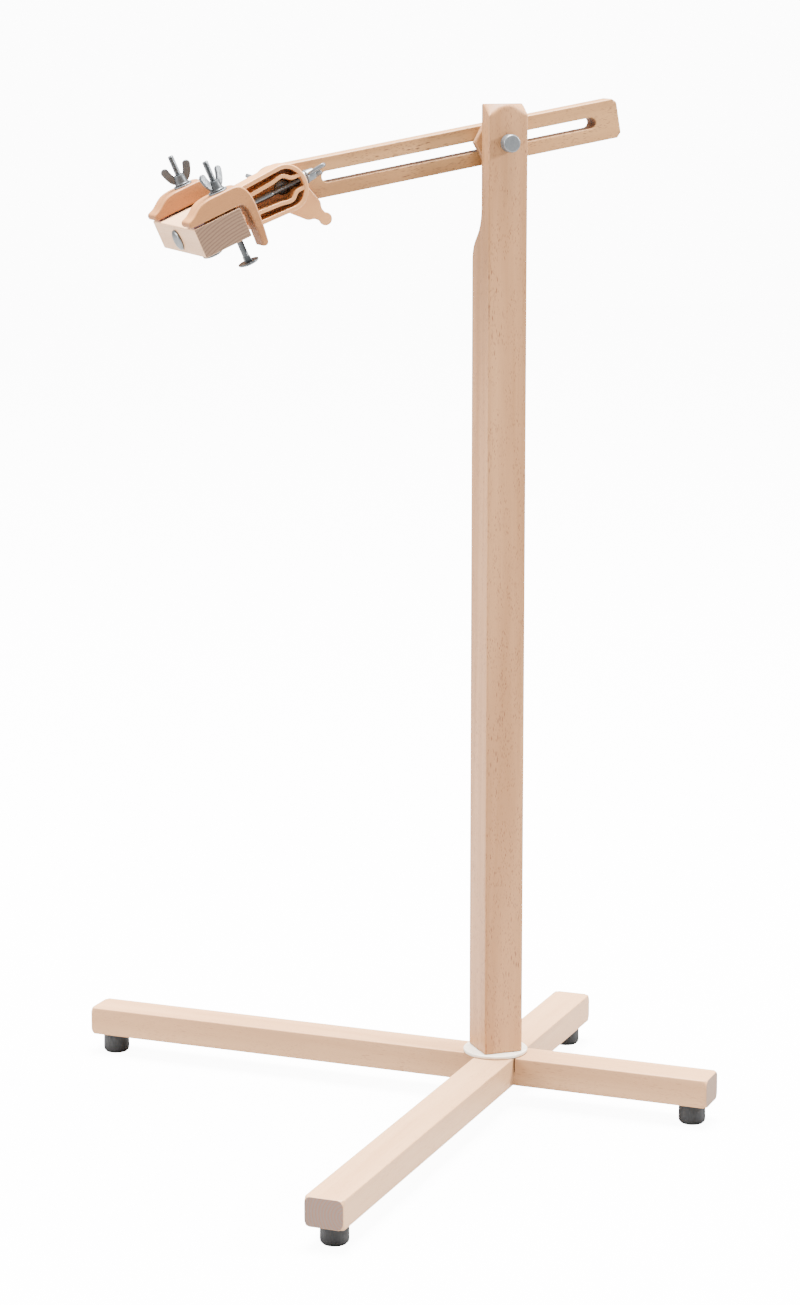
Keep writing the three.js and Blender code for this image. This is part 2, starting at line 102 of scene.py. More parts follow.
def place(origin, x_axis, z_axis=None):
    """A place is its origin in metres and its three unit axes as rows; Y is what X and Z leave over."""
    x_axis = np.array(x_axis, float) / np.linalg.norm(x_axis)
    z_axis = np.array((0, 0, 1.0)) if z_axis is None else np.array(z_axis, float)
    y_axis = np.cross(z_axis, x_axis)
    y_axis /= np.linalg.norm(y_axis)
    return np.array(origin, float), np.array((x_axis, y_axis, np.cross(x_axis, y_axis)))


def within(outer, offset, turn_matrix):
    """A place given inside another: its origin is moved by the offset, its axes are turned by rows."""
    origin, axes = outer
    return origin + np.array(offset, float) @ axes * MM, np.array(turn_matrix, float) @ axes


swivel = np.array(JOINTS["post_swivel"]["pos_m"], float) * (1, 1, 0)
arm_axis = np.array(JOINTS["arm_slide"]["axis"], float)
rod_axis = np.array(JOINTS["rod_roll"]["axis"], float)
hub = np.array(JOINTS["arm_tilt"]["pos_m"], float)
pivot = np.array(JOINTS["head_tilt"]["pos_m"], float)
hub[1] = pivot[1] = swivel[1]

COLUMN_PLACE = place(swivel, (1, 0, 0))
CROSS_X = np.array((np.cos(CROSS_TURN), np.sin(CROSS_TURN), 0))
CROSS_Y = np.array((-np.sin(CROSS_TURN), np.cos(CROSS_TURN), 0))
CROSS_PLACE = place(swivel + (CROSS_X * CROSS_OFFSET[0] + CROSS_Y * CROSS_OFFSET[1]) * MM, CROSS_X)
FRONT_BAR_PLACE = place(CROSS_PLACE[0], CROSS_Y)
HUB_PLACE = place(hub, (1, 0, 0))
ARM_PLACE = place(hub, arm_axis, (-arm_axis[2], 0, arm_axis[0]))
HEAD_PLACE = place(pivot, rod_axis, (-rod_axis[2], 0, rod_axis[0]))
LYING_Y = np.array(((1, 0, 0), (0, 0, -1), (0, 1, 0)), float)  # a turned piece's own Z lies along Y
LYING_X = np.array(((0, 0, -1), (0, 1, 0), (1, 0, 0)), float)  # a turned piece's own Z lies along X


def turned_about_z(angle):
    """Rows that turn a place's X and Y about its Z by an angle in degrees."""
    a = np.radians(angle)
    return np.array(((np.cos(a), np.sin(a), 0), (-np.sin(a), np.cos(a), 0), (0, 0, 1)))


# ---------------------------------------------------------------- surfaces

def grid_faces(rows, columns, closed_rows=False):
    """Four-sided faces between neighbours of a grid whose columns close on themselves."""
    i = np.arange(rows if closed_rows else rows - 1)[:, None]
    j = np.arange(columns)[None, :]
    after_i, after_j = (i + 1) % rows, (j + 1) % columns
    corners = (i * columns + j, i * columns + after_j, after_i * columns + after_j, after_i * columns + j)
    return np.stack(np.broadcast_arrays(*corners), -1).reshape(-1, 4)


def shell(points, closed_rows=False, cap=None):
    """A closed body from a grid of points (rows, columns, 3): its side faces, and a flat cap at each
    open end, of the given triangles or of one face. The faces are turned round if the volume they
    hold comes out negative."""
    rows, columns = points.shape[:2]
    flat = points.reshape(-1, 3)
    faces = grid_faces(rows, columns, closed_rows)
    a, b, c, d = (flat[faces[:, k]] for k in range(4))
    centre = flat.mean(0)
    volume = np.einsum("ij,ij->", a - centre, np.cross(b - centre, c - centre))
    volume += np.einsum("ij,ij->", a - centre, np.cross(c - centre, d - centre))
    polygons = faces.tolist()
    if not closed_rows:
        cap = [list(range(columns))] if cap is None else cap
        last = (rows - 1) * columns
        polygons += [face[::-1] for face in cap] + [[last + index for index in face] for face in cap]
    if volume < 0:
        polygons = [face[::-1] for face in polygons]
    return flat, polygons


def joined(*shells):
    """Several closed bodies as one set of points and faces."""
    points, faces, count = [], [], 0
    for flat, polygons in shells:
        points.append(flat)
        faces += [[index + count for index in face] for face in polygons]
        count += len(flat)
    return np.concatenate(points), faces


def piece(name, shape, where, body, material, node):
    """A finished piece: the shape's points, in millimetres in a place, become a mesh in the stand's
    frame with even shading, its caps flat; it rides on its body and stands for its node."""
    points, faces = shape
    origin, axes = where
    mesh = bpy.data.meshes.new(name)
    mesh.from_pydata((origin + points @ axes * MM).tolist(), [], faces)
    if np.linalg.det(axes) < 0:
        mesh.flip_normals()
    mesh.shade_smooth()
    mesh.set_sharp_from_angle(angle=np.radians(50))
    mesh.polygons.foreach_set("use_smooth", [len(face) == 4 for face in faces])
    mesh.materials.append(material)
    made = bpy.data.objects.new(name, mesh)
    bpy.context.scene.collection.objects.link(made)
    even = made.modifiers.new("even_shading", "WEIGHTED_NORMAL")
    even.keep_sharp = True
    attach(made, body)
    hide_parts(node)


def turned(profile, sides=48):
    """A profile of (radius, height) turned about Z; both its ends are closed flat."""
    radius, height = np.array(profile, float).T
    angle = np.linspace(0, 2 * np.pi, sides, endpoint=False)
    x = radius[:, None] * np.cos(angle)
    y = radius[:, None] * np.sin(angle)
    return shell(np.stack((x, y, np.broadcast_to(height[:, None], x.shape)), -1))


def ring(inner, outer, low, high, edge=0.25, sides=40):
    """A washer: a rectangle with its corners taken off, turned about Z without touching it."""
    profile = [(inner, low + edge), (inner + edge, low), (outer - edge, low), (outer, low + edge),
               (outer, high - edge), (outer - edge, high), (inner + edge, high), (inner, high - edge)]
    radius, height = np.array(profile).T
    angle = np.linspace(0, 2 * np.pi, sides, endpoint=False)
    x = radius[:, None] * np.cos(angle)
    y = radius[:, None] * np.sin(angle)
    return shell(np.stack((x, y, np.broadcast_to(height[:, None], x.shape)), -1), closed_rows=True)


def rounded_rectangle(low, high, corner, across=10, corner_steps=4):
    """Points round a rectangle with quarter-circle corners, with `across` steps on each side."""
    (x0, y0), (x1, y1) = low, high
    centres = ((x1 - corner, y1 - corner), (x0 + corner, y1 - corner),
               (x0 + corner, y0 + corner), (x1 - corner, y0 + corner))
    points = []
    for k, (cx, cy) in enumerate(centres):
        angle = np.pi / 2 * (k + np.linspace(0, 1, corner_steps + 1))
        bend = np.stack((cx + corner * np.cos(angle), cy + corner * np.sin(angle)), -1)
        next_x, next_y = centres[(k + 1) % 4]
        start = np.array((next_x, next_y)) + corner * np.array((np.cos(angle[-1]), np.sin(angle[-1])))
        share = np.linspace(0, 1, across + 1)[1:-1, None]
        points += [bend, bend[-1] * (1 - share) + start * share]
    return np.concatenate(points)


def bezier(*controls, steps=10):
    """A line, or a curve with one or two control points between its ends, without its last point."""
    t = np.linspace(0, 1, steps + 1)[:-1, None]
    p = np.array(controls, float)
    if len(p) == 2:
        return p[0] * (1 - t) + p[1] * t
    if len(p) == 3:
        return p[0] * (1 - t) ** 2 + 2 * p[1] * t * (1 - t) + p[2] * t**2
    return p[0] * (1 - t) ** 3 + 3 * p[1] * t * (1 - t) ** 2 + 3 * p[2] * t**2 * (1 - t) + p[3] * t**3


def arc(centre, radius, start, end, steps=16):
    """Points on an arc between two angles in degrees, both ends included."""
    angle = np.radians(np.linspace(start, end, steps + 1))
    return np.stack((centre[0] + radius * np.cos(angle), centre[1] + radius * np.sin(angle)), -1)


def inset(outline, distance):
    """A closed outline moved inwards: each point goes along the mean of its two sides' normals."""
    before = outline - np.roll(outline, 1, 0)
    after = np.roll(outline, -1, 0) - outline
    before /= np.maximum(np.linalg.norm(before, axis=1, keepdims=True), 1e-9)
    after /= np.maximum(np.linalg.norm(after, axis=1, keepdims=True), 1e-9)
    along = before + after
    along /= np.maximum(np.linalg.norm(along, axis=1, keepdims=True), 1e-9)
    stretch = 1 / np.clip(np.einsum("ij,ij->i", along, after), 0.6, 1)
    area = np.sum(outline[:, 0] * np.roll(outline[:, 1], -1) - np.roll(outline[:, 0], -1) * outline[:, 1])
    inward = np.stack((-along[:, 1], along[:, 0]), -1) * np.sign(area)
    return outline + inward * stretch[:, None] * distance


def filled(outline):
    """A closed outline's inside as triangles that run the same way round as the outline."""
    area = np.sum(outline[:, 0] * np.roll(outline[:, 1], -1) - np.roll(outline[:, 0], -1) * outline[:, 1])
    corners = [Vector(point) for point in outline]
    found = delaunay_2d_cdt(corners, [], [list(range(len(outline)))], 1, 1e-6)
    order = [sources[0] for sources in found[3]]
    triangles = np.array([[order[index] for index in face] for face in found[2]])
    a, b, c = (outline[triangles[:, k]] for k in range(3))
    turn = (b[:, 0] - a[:, 0]) * (c[:, 1] - a[:, 1]) - (b[:, 1] - a[:, 1]) * (c[:, 0] - a[:, 0])
    backwards = turn * area < 0
    triangles[backwards] = triangles[backwards][:, ::-1]
    return triangles.tolist()


def edge_steps(low, high, edge, steps=4):
    """Depth and inset across a plate with quarter-round edges."""
    angle = np.linspace(0, np.pi / 2, steps + 1)
    depth = np.concatenate((low + edge * (1 - np.cos(angle)), high - edge * (1 - np.cos(angle[::-1]))))
    shrink = np.concatenate((edge * (1 - np.sin(angle)), edge * (1 - np.sin(angle[::-1]))))
    return depth, shrink


def plate(outline, low, high, edge=0.6, steps=4):
    """An outline in X and Z given depth along Y, its edges rounded by moving the outline inwards
    over a quarter circle at each face."""
    depth, shrink = edge_steps(low, high, edge, steps)
    rows = []
    for y, distance in zip(depth, shrink):
        flat = inset(outline, distance)
        rows.append(np.stack((flat[:, 0], np.full(len(flat), y), flat[:, 1]), -1))
    return shell(np.array(rows), cap=filled(outline))


def band(outer, inner, low, high, edge=0.6, steps=4, across=0):
    """A plate with a hole: outer and inner outlines have the same number of points, and the section
    runs down the outer side, across a face, up the hole's side and back across the other face."""
    depth, shrink = edge_steps(low, high, edge, steps)
    rows = [(inset(outer, distance), y) for y, distance in zip(depth, shrink)]
    share = np.linspace(0, 1, across + 2)[1:-1]
    top_outer, top_inner = inset(outer, edge), inset(inner, -edge)
    rows += [(top_outer * (1 - s) + top_inner * s, high) for s in share]
    rows += [(inset(inner, -distance), y) for y, distance in zip(depth[::-1], shrink[::-1])]
    rows += [(top_inner * (1 - s) + top_outer * s, low) for s in share]
    points = [np.stack((flat[:, 0], np.full(len(flat), y), flat[:, 1]), -1) for flat, y in rows]
    return shell(np.array(points), closed_rows=True)


def turned_limit(points, axis, along, tip, flat, slope):
    """Points further from a turning axis than a cone allows are drawn in towards it. The cone's
    radius is `flat` at the tip and grows by `slope` per millimetre behind it."""
    limit = flat + (tip - along) * slope
    across = points - axis
    distance = np.linalg.norm(across, axis=-1)
    share = np.minimum(1, limit / np.maximum(distance, 1e-9))
    return axis + across * share[..., None]


# ---------------------------------------------------------------- shader node groups

def socket(tree, name, kind, output=False, default=None):
    """One input or output of a node group, with the value it has while nothing feeds it."""
    made = tree.interface.new_socket(name, in_out="OUTPUT" if output else "INPUT", socket_type=kind)
    if default is not None:
        made.default_value = default
    return made


class Nodes:
    """Shorthand for building a node tree: the calls below `put` make a node and give back its output."""

    def __init__(self, tree):
        self.tree = tree

    def new(self, kind, **values):
        node = self.tree.nodes.new(kind)
        for key, value in values.items():
            setattr(node, key, value)
        return node

    def put(self, target, value):
        if isinstance(value, bpy.types.NodeSocket):
            self.tree.links.new(value, target)
        else:
            target.default_value = value

    def math(self, operation, a, b=0.0):
        node = self.new("ShaderNodeMath", operation=operation)
        self.put(node.inputs[0], a)
        self.put(node.inputs[1], b)
        return node.outputs[0]

    def scaled(self, vector, by):
        node = self.new("ShaderNodeVectorMath", operation="MULTIPLY")
        self.put(node.inputs[0], vector)
        node.inputs[1].default_value = by
        return node.outputs[0]

    def noise(self, vector, scale=1.0, detail=2.0, roughness=0.5, distortion=0.0):
        node = self.new("ShaderNodeTexNoise")
        self.put(node.inputs["Vector"], vector)
        node.inputs["Scale"].default_value = scale
        node.inputs["Detail"].default_value = detail
        node.inputs["Roughness"].default_value = roughness
        node.inputs["Distortion"].default_value = distortion
        return node.outputs["Fac"]

    def ramp(self, value, low, high, to_low=0.0, to_high=1.0, smooth=True):
        node = self.new("ShaderNodeMapRange", interpolation_type="SMOOTHSTEP" if smooth else "LINEAR")
        self.put(node.inputs["Value"], value)
        node.inputs["From Min"].default_value = low
        node.inputs["From Max"].default_value = high
        node.inputs["To Min"].default_value = to_low
        node.inputs["To Max"].default_value = to_high
        return node.outputs["Result"]

    def mix(self, share, a, b):
        node = self.new("ShaderNodeMix", data_type="RGBA")
        self.put(node.inputs["Factor"], share)
        self.put(node.inputs["A"], a)
        self.put(node.inputs["B"], b)
        return node.outputs["Result"]

    def bump(self, height, strength, distance):
        node = self.new("ShaderNodeBump")
        node.inputs["Strength"].default_value = strength
        node.inputs["Distance"].default_value = distance
        self.put(node.inputs["Height"], height)
        return node.outputs["Normal"]


def beech_figure_group():
    """Beech figure on a vector in metres whose X runs along the grain: slow bands of tone, fine
    fibres, short dark flecks, and growth rings with pores where a face cuts across the grain."""
    tree = bpy.data.node_groups.new("beech_figure", "ShaderNodeTree")
    socket(tree, "Vector", "NodeSocketVector")
    socket(tree, "Facing", "NodeSocketVector")
    socket(tree, "Light", "NodeSocketColor", default=(0.8, 0.6, 0.4, 1))
    socket(tree, "Dark", "NodeSocketColor", default=(0.7, 0.45, 0.27, 1))
    socket(tree, "Fleck", "NodeSocketColor", default=(0.4, 0.2, 0.1, 1))
    socket(tree, "End Grain", "NodeSocketColor", default=(0.5, 0.3, 0.18, 1))
    socket(tree, "Fleck Strength", "NodeSocketFloat", default=0.5)
    for name, kind in (("Color", "NodeSocketColor"), ("Roughness", "NodeSocketFloat"),
                       ("Height", "NodeSocketFloat")):
        socket(tree, name, kind, output=True)
    n = Nodes(tree)
    inputs = n.new("NodeGroupInput").outputs
    outputs = n.new("NodeGroupOutput").inputs
    vector = inputs["Vector"]
    bands = n.noise(n.scaled(vector, (1.3, 34, 34)), detail=4, roughness=0.6, distortion=0.5)
    cloud = n.noise(n.scaled(vector, (5, 16, 16)), detail=2)
    fibres = n.noise(n.scaled(vector, (16, 1100, 1100)), detail=3, roughness=0.7)
    cells = n.new("ShaderNodeTexVoronoi", feature="F1")
    n.put(cells.inputs["Vector"], n.scaled(vector, (190, 1150, 1150)))
    cells.inputs["Scale"].default_value = 1.0
    dash = n.ramp(cells.outputs["Distance"], 0.14, 0.36, 1, 0)
    patch = n.ramp(n.noise(n.scaled(vector, (34, 120, 120)), detail=2), 0.34, 0.6)
    large = n.new("ShaderNodeTexVoronoi", feature="F1")
    n.put(large.inputs["Vector"], n.scaled(vector, (75, 420, 420)))
    large.inputs["Scale"].default_value = 1.0
    long_dash = n.ramp(large.outputs["Distance"], 0.08, 0.3, 1, 0)
    long_patch = n.ramp(n.noise(n.scaled(vector, (9, 40, 40)), detail=1), 0.52, 0.66)
    flecks = n.math("MAXIMUM", n.math("MULTIPLY", dash, patch), n.math("MULTIPLY", long_dash, long_patch))
    side = n.mix(n.ramp(bands, 0.32, 0.7), inputs["Light"], inputs["Dark"])
    side = n.mix(n.ramp(fibres, 0.3, 0.75, 0, 0.22), side, inputs["Dark"])
    side = n.mix(n.ramp(cloud, 0.4, 0.75, 0, 0.18), side, inputs["Dark"])
    side = n.mix(n.math("MULTIPLY", flecks, inputs["Fleck Strength"]), side, inputs["Fleck"])
    wave = n.new("ShaderNodeTexWave", wave_type="RINGS", rings_direction="X")
    moved = n.new("ShaderNodeVectorMath", operation="ADD")
    n.put(moved.inputs[0], vector)
    moved.inputs[1].default_value = (0, 0.021, -0.034)
    n.put(wave.inputs["Vector"], n.scaled(moved.outputs[0], (0.2, 1, 1)))
    wave.inputs["Scale"].default_value = 105.0
    wave.inputs["Distortion"].default_value = 2.2
    wave.inputs["Detail"].default_value = 2.0
    wave.inputs["Detail Scale"].default_value = 0.6
    pores = n.noise(n.scaled(vector, (200, 2600, 2600)), detail=2)
    end = n.mix(n.ramp(wave.outputs["Fac"], 0.3, 1.0, 0.0, 0.55), inputs["End Grain"], inputs["Fleck"])
    end = n.mix(n.ramp(pores, 0.52, 0.7, 0, 0.4), end, inputs["Fleck"])
    facing = n.new("ShaderNodeSeparateXYZ")
    n.put(facing.inputs[0], inputs["Facing"])
    is_end = n.ramp(n.math("ABSOLUTE", facing.outputs[0]), 0.55, 0.85)
    n.put(outputs["Color"], n.mix(is_end, side, end))
    dull = n.math("ADD", n.ramp(fibres, 0.2, 0.8, 0.42, 0.56), n.math("MULTIPLY", is_end, 0.2))
    n.put(outputs["Roughness"], dull)
    relief = n.math("ADD", n.math("MULTIPLY", fibres, 0.6), n.math("MULTIPLY", flecks, -0.5))
    end_relief = n.math("MULTIPLY", pores, n.math("MULTIPLY", is_end, 0.5))
    n.put(outputs["Height"], n.math("ADD", relief, end_relief))
    return tree


def handled_surface_group():
    """Small differences on a moulded or plated surface: slow mottling, fine grain, and faint scuffs."""
    tree = bpy.data.node_groups.new("handled_surface", "ShaderNodeTree")
    socket(tree, "Vector", "NodeSocketVector")
    socket(tree, "Color", "NodeSocketColor", default=(0.8, 0.8, 0.8, 1))
    socket(tree, "Shade", "NodeSocketColor", default=(0.5, 0.5, 0.5, 1))
    socket(tree, "Mottle", "NodeSocketFloat", default=0.3)
    socket(tree, "Smooth", "NodeSocketFloat", default=0.3)
    socket(tree, "Dull", "NodeSocketFloat", default=0.5)
    for name, kind in (("Color", "NodeSocketColor"), ("Roughness", "NodeSocketFloat"),
                       ("Height", "NodeSocketFloat")):
        socket(tree, name, kind, output=True)
    n = Nodes(tree)
    inputs = n.new("NodeGroupInput").outputs
    outputs = n.new("NodeGroupOutput").inputs
    mottle = n.noise(inputs["Vector"], 90, 4, 0.55)
    grain = n.noise(inputs["Vector"], 2200, 2)
    scuff = n.noise(n.scaled(inputs["Vector"], (900, 160, 160)), 1.0, 3, 0.6, 0.8)
    share = n.math("MULTIPLY", n.ramp(mottle, 0.35, 0.72), inputs["Mottle"])
    n.put(outputs["Color"], n.mix(share, inputs["Color"], inputs["Shade"]))
    worn = n.ramp(n.math("ADD", n.math("MULTIPLY", mottle, 0.6), n.math("MULTIPLY", scuff, 0.4)), 0.38, 0.66)
    spread = n.math("SUBTRACT", inputs["Dull"], inputs["Smooth"])
    n.put(outputs["Roughness"], n.math("ADD", inputs["Smooth"], n.math("MULTIPLY", spread, worn)))
    n.put(outputs["Height"], n.math("ADD", n.math("MULTIPLY", mottle, 0.7), n.math("MULTIPLY", grain, 0.3)))
    return tree


BEECH_FIGURE = beech_figure_group()
HANDLED_SURFACE = handled_surface_group()


def blank(name):
    """A new material, its node tree and its shader."""
    material = bpy.data.materials.new(name)
    material.use_nodes = True
    tree = material.node_tree
    shader = tree.nodes["Principled BSDF"]
    return material, Nodes(tree), shader


def srgb(code):
    """A hexadecimal colour as linear values."""
    channels = np.array([code >> 16 & 255, code >> 8 & 255, code & 255]) / 255
    linear = np.where(channels <= 0.04045, channels / 12.92, ((channels + 0.055) / 1.055) ** 2.4)
    return (*linear.tolist(), 1.0)


def wood(name, where, light, dark, fleck, end, fleck_strength, offset=(0, 0, 0)):
    """Lacquered beech whose grain runs along a place's X. Its colours are the light and dark bands,
    the flecks and the end grain, and the offset in metres moves the piece within the figure."""
    material, n, shader = blank(name)
    origin, axes = where
    turn = Matrix(axes.tolist())
    coordinates = n.new("ShaderNodeTexCoord")
    mapping = n.new("ShaderNodeMapping", vector_type="POINT")
    mapping.inputs["Rotation"].default_value = turn.to_euler()
    mapping.inputs["Location"].default_value = (np.array(offset) - axes @ origin).tolist()
    facing = n.new("ShaderNodeMapping", vector_type="VECTOR")
    facing.inputs["Rotation"].default_value = turn.to_euler()
    n.put(mapping.inputs["Vector"], coordinates.outputs["Object"])
    n.put(facing.inputs["Vector"], coordinates.outputs["Normal"])
    figure = n.new("ShaderNodeGroup", node_tree=BEECH_FIGURE)
    n.put(figure.inputs["Vector"], mapping.outputs[0])
    n.put(figure.inputs["Facing"], facing.outputs[0])
    for key, value in (("Light", light), ("Dark", dark), ("Fleck", fleck), ("End Grain", end)):
        figure.inputs[key].default_value = srgb(value)
    figure.inputs["Fleck Strength"].default_value = fleck_strength
    n.put(shader.inputs["Base Color"], figure.outputs["Color"])
    n.put(shader.inputs["Roughness"], figure.outputs["Roughness"])
    n.put(shader.inputs["Normal"], n.bump(figure.outputs["Height"], 0.25, 0.00015))
    shader.inputs["Specular IOR Level"].default_value = 0.4
    return material


def handled(name, color, shade, mottle, smooth, dull, relief=0.1, **constants):
    """A moulded, rubber or plated finish; constants are set on the shader's own sockets."""
    material, n, shader = blank(name)
    coordinates = n.new("ShaderNodeTexCoord")
    surface = n.new("ShaderNodeGroup", node_tree=HANDLED_SURFACE)
    n.put(surface.inputs["Vector"], coordinates.outputs["Object"])
    surface.inputs["Color"].default_value = srgb(color)
    surface.inputs["Shade"].default_value = srgb(shade)
    surface.inputs["Mottle"].default_value = mottle
    surface.inputs["Smooth"].default_value = smooth
    surface.inputs["Dull"].default_value = dull
    n.put(shader.inputs["Base Color"], surface.outputs["Color"])
    n.put(shader.inputs["Roughness"], surface.outputs["Roughness"])
    n.put(shader.inputs["Normal"], n.bump(surface.outputs["Height"], relief, 0.0003))
    for key, value in constants.items():
        shader.inputs[key.replace("_", " ")].default_value = value
    return material


def felt_material():
    """Pressed felt: a fuzzy, matt surface with short crossing fibres."""
    material, n, shader = blank("pressed_felt")
    coordinates = n.new("ShaderNodeTexCoord").outputs["Object"]
    fuzz = n.noise(coordinates, 1800, 5, 0.7, 1.2)
    tone = n.noise(coordinates, 260, 3)
    color = n.mix(n.ramp(fuzz, 0.3, 0.7), srgb(0x553C45), srgb(0x8A6A72))
    n.put(shader.inputs["Base Color"], n.mix(n.ramp(tone, 0.3, 0.7, 0, 0.4), color, srgb(0x6E5058)))
    shader.inputs["Roughness"].default_value = 0.95
    shader.inputs["Sheen Weight"].default_value = 0.4
    n.put(shader.inputs["Normal"], n.bump(fuzz, 0.8, 0.0004))
    return material


UPRIGHT = place(COLUMN_PLACE[0], (0, 0, 1), (0, -1, 0))
BLOCK_GRAIN = (HEAD_PLACE[0], HEAD_PLACE[1][[1, 2, 0]])
post_beech = wood("post_beech", UPRIGHT, 0xB08259, 0x94673F, 0x62391C, 0x86603F, 0.95, (0.3, 0.1, 0.2))
side_beech = wood("side_bar_beech", CROSS_PLACE, 0xBA8E65, 0xA97D56, 0x82583A, 0x776456, 0.5, (0.7, 0.4, 0))
front_beech = wood("front_bar_beech", FRONT_BAR_PLACE, 0xBC926A, 0xAD825C, 0x82583A, 0x74625A, 0.5)
arm_beech = wood("arm_beech", ARM_PLACE, 0xAC7F50, 0x8A5F35, 0x53311A, 0x80583A, 1.0, (0.1, 0.9, 0.3))
spacer_beech = wood("spacer_beech", HUB_PLACE, 0xAE7F52, 0x9C6C42, 0x6E4526, 0x86603F, 0.5, (0.2, 0.2, 0.6))
block_beech = wood("block_beech", BLOCK_GRAIN, 0xC29A76, 0xB28862, 0x523828, 0x7A5E48, 0.45, (0.5, 0.1, 0.1))
claw_beech = wood("claw_beech", HEAD_PLACE,
                  0x9E6A3C, 0x88552C, 0x6E4526, 0x8A5931, 0.35, (0.6, 0.3, 0.1))
peach = handled("peach_moulding", 0xBD8654, 0xB07747, 0.5, 0.3, 0.44, 0.06)
white_moulding = handled("swivel_disc_moulding", 0xD9CFC0, 0xC4B8A6, 0.5, 0.4, 0.55)
black_rubber = handled("black_rubber", 0x161617, 0x232222, 0.7, 0.6, 0.85, 0.3)
zinc = handled("zinc_plate", 0x6E7173, 0x56595B, 0.55, 0.34, 0.52, 0.12, Metallic=0.6)
# A darker copy of the zinc, painted shade: it keeps the claws' bolts and wing nuts, which face up into the
# top light, from coming out brighter than the other zinc.
shaded_zinc = handled("zinc_painted_shade", 0x4E5153, 0x3E4143, 0.55, 0.36, 0.54, 0.12, Metallic=0.6)
dark_steel = handled("dark_steel", 0x747677, 0x515355, 0.6, 0.34, 0.5, 0.1, Metallic=1.0)
brass = handled("brass", 0xC8A765, 0x967A42, 0.5, 0.25, 0.45, 0.1, Metallic=1.0)
felt = felt_material()

# ---------------------------------------------------------------- cross base

CROSS_MID = BAR["low"] + BAR["height"] / 2


def bar_shape(low, high, notch, cut_above):
    """A bar along X: a rounded rectangle at each place along it. Over the notch one face steps to
    the bar's middle, and both ends are drawn in by a turning cone and softened."""
    half = BAR["width"] / 2
    soft = np.array((0, 0.15, 0.5, 1.1, 2.0, 3.0, 4.0, 4.6, 5.2, 8.0, 14.0))
    body = np.linspace(low + 20, high - 20, 24)
    clear = body[(body < notch[0] - 1) | (body > notch[1] + 1)]
    steps = np.array((notch[0], notch[0], notch[1], notch[1]))
    x = np.concatenate((low + soft, clear, steps, high - soft))
    order = np.argsort(x, kind="stable")
    x = x[order]
    lowered = (x > notch[0]) & (x < notch[1])
    at_start, at_end = np.flatnonzero(x == notch[0]), np.flatnonzero(x == notch[1])
    lowered[at_start[1]] = lowered[at_end[0]] = True
    middle, reach = (low + high) / 2, (high - low) / 2
    rows = []
    for place_x, is_low in zip(x, lowered):
        from_end = reach - abs(place_x - middle)
        soften = 0.7 * max(0.0, 1 - from_end) ** 2
        floor, top = BAR["low"] + soften, BAR_TOP - soften
        if is_low and cut_above:
            top = CROSS_MID - GAP
        elif is_low:
            floor = CROSS_MID
        rows.append(rounded_rectangle((-half + soften, floor), (half - soften, top), 1.4))
    section = np.array(rows)
    along = np.broadcast_to(np.abs(x - middle)[:, None], section.shape[:2])
    section = turned_limit(section, np.array((0, CROSS_MID)), along, reach, **TURNED_END)
    return shell(np.concatenate((np.broadcast_to(x[:, None, None], (*section.shape[:2], 1)), section), -1))


half_bar = BAR["width"] / 2
side_notch = (-half_bar - GAP, half_bar + LAP_PLAY)
front_notch = (-half_bar - GAP, half_bar + GAP)
piece("side_bar_beech", bar_shape(*SIDE_REACH, side_notch, True), CROSS_PLACE,
      "base", side_beech, "side_bar")
piece("front_bar_beech", bar_shape(*FRONT_REACH, front_notch, False), FRONT_BAR_PLACE,
      "base", front_beech, "front_bar")


def foot_shape():
    """A rubber foot turned from a profile: a rounded sole with a recess, swelling to a soft top rim."""
    height, radius, sole = FOOT["height"] - GAP, FOOT["radius"], FOOT["sole"]
    bulge = bezier((sole, 0.9), (radius, 1.6), (radius, 4.0), (radius - 0.1, 8.0), steps=7)
    rim = arc((radius - 1.5, height - 1.2), 1.2, 0, 90, 5)
    profile = [(0.8, 8.6), (5.4, 8.6), (6.0, 8.0), (6.0, 0.5), (6.4, 0.0), (sole - 1.2, 0.0),
               (sole - 0.3, 0.2)]
    return turned(np.concatenate((profile, bulge, rim, [(0.8, height)])), 56)


def finish_node(node, material):
    """A plain node that stays in view gets its material."""
    slots = frame["nodes"][node].data.materials
    slots.clear()
    slots.append(material)


for side, offset in {
    "left": (SIDE_REACH[0] + FOOT["inset"], 0, 0),
    "right": (SIDE_REACH[1] - FOOT["inset"], 0, 0),
    "front": (0, FRONT_REACH[0] + FRONT_FOOT_INSET, 0),
    "rear": (0, FRONT_REACH[1] - FOOT["inset"], 0),
}.items():
    piece(f"foot_{side}_rubber", foot_shape(), within(CROSS_PLACE, offset, np.eye(3)),
          "base", black_rubber, f"foot_{side}")
    finish_node(f"foot_screw_{side}", zinc)

disc_low, disc_high = BAR_TOP + GAP, BAR_TOP + GAP + DISC["thick"]
piece("swivel_disc_moulding", ring(4.4, DISC["radius"], disc_low, disc_high, 0.7, 96), COLUMN_PLACE,
      "base", white_moulding, "swivel_disc")
finish_node("swivel_bolt", zinc)
finish_node("swivel_washer", zinc)
finish_node("threaded_insert", brass)

# ---------------------------------------------------------------- post


